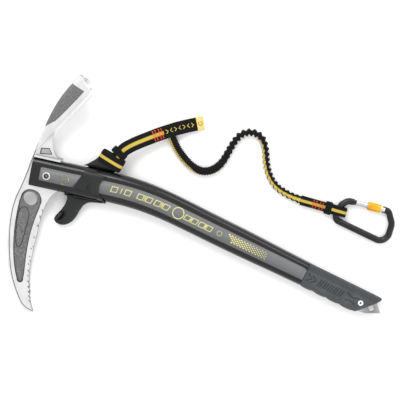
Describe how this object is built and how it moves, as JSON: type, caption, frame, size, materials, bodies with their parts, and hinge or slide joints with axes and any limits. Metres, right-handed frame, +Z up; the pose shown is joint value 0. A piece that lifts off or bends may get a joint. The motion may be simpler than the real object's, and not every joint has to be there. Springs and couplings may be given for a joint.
{
  "type": "ice axe",
  "caption": "Curved-shaft ice axe with forged pick and adze, sliding hand rest, rubber grip and spike, and an elastic leash with a locking carabiner.",
  "frame": {"origin": "on the surface that the axe lies on, under the middle of the box of the axe with its webbing tab", "axes": "+X from the head along the lower shaft to the spike, +Y from the pick to the adze, +Z up, away from the surface"},
  "size_m": [0.4831, 0.3389, 0.0496],
  "materials": {
    "forged_steel": "satin polished forging",
    "shaft_black": "gloss black lacquer over fibre",
    "cheek_plastic": "moulded",
    "bolt_steel": "turned",
    "badge_print": "printed disc",
    "trigger_plastic": "satin moulded nylon",
    "insert_rubber": "soft insert",
    "webbing": "woven nylon with yellow centre stripe",
    "label_cloth": "woven label",
    "red_thread": "bar tack stitching",
    "frame_anodised": "dark anodised",
    "gate_aluminium": "bright anodised",
    "sleeve_gold": "gold anodised, knurled",
    "pin_steel": "riveted",
    "grip_rubber": "moulded ribbed grip",
    "plug_plastic": "moulded",
    "spike_steel": "blasted plate"
  },
  "bodies": {
    "axe": {"head_forging": "forged_steel", "shaft_tube": "shaft_black", "head_cheek_near": "cheek_plastic", "head_cheek_far": "cheek_plastic", "head_bolt": "bolt_steel", "head_bolt_nut": "bolt_steel", "rating_badge_near": "badge_print", "rating_badge_far": "badge_print", "spike": "spike_steel", "spike_plug": "plug_plastic", "grip_sleeve": "grip_rubber", "spike_rivet": "bolt_steel"},
    "trigger": {"trigger_body": "trigger_plastic", "trigger_insert": "insert_rubber", "trigger_liner": "cheek_plastic", "leash_strap": "webbing", "strap_label": "label_cloth", "strap_bartacks": "red_thread", "leash_elastic": "webbing", "leash_end_strap": "webbing", "leash_end_bartacks": "red_thread"},
    "carabiner": {"carabiner_frame": "frame_anodised", "gate_pin": "pin_steel"},
    "gate": {"carabiner_gate": "gate_aluminium", "gate_spring": "pin_steel"},
    "lock_sleeve": {"lock_sleeve": "sleeve_gold"}
  },
  "joints": [
    {"name": "trigger_slide", "type": "slide", "parent": "axe", "child": "trigger", "axis": [0.9704, 0.2413, 0.0018], "range_m": [-0.006, 0.012]},
    {"name": "carabiner_swing", "type": "hinge", "parent": "trigger", "child": "carabiner", "pos_m": [0.1368, 0.1304, 0.00615], "axis": [0, 0, 1], "range_deg": [-12, 12]},
    {"name": "gate_open", "type": "hinge", "parent": "carabiner", "child": "gate", "pos_m": [0.1849, 0.1564, 0.00521], "axis": [0.0258, -0.0116, 0.9996], "range_deg": [0, 25], "stiffness_Nm_per_rad": 0.05, "springref_deg": -11.46},
    {"name": "sleeve_slide", "type": "slide", "parent": "gate", "child": "lock_sleeve", "axis": [-0.9779, -0.2079, 0.0228], "range_m": [0, 0.0168]}
  ]
}
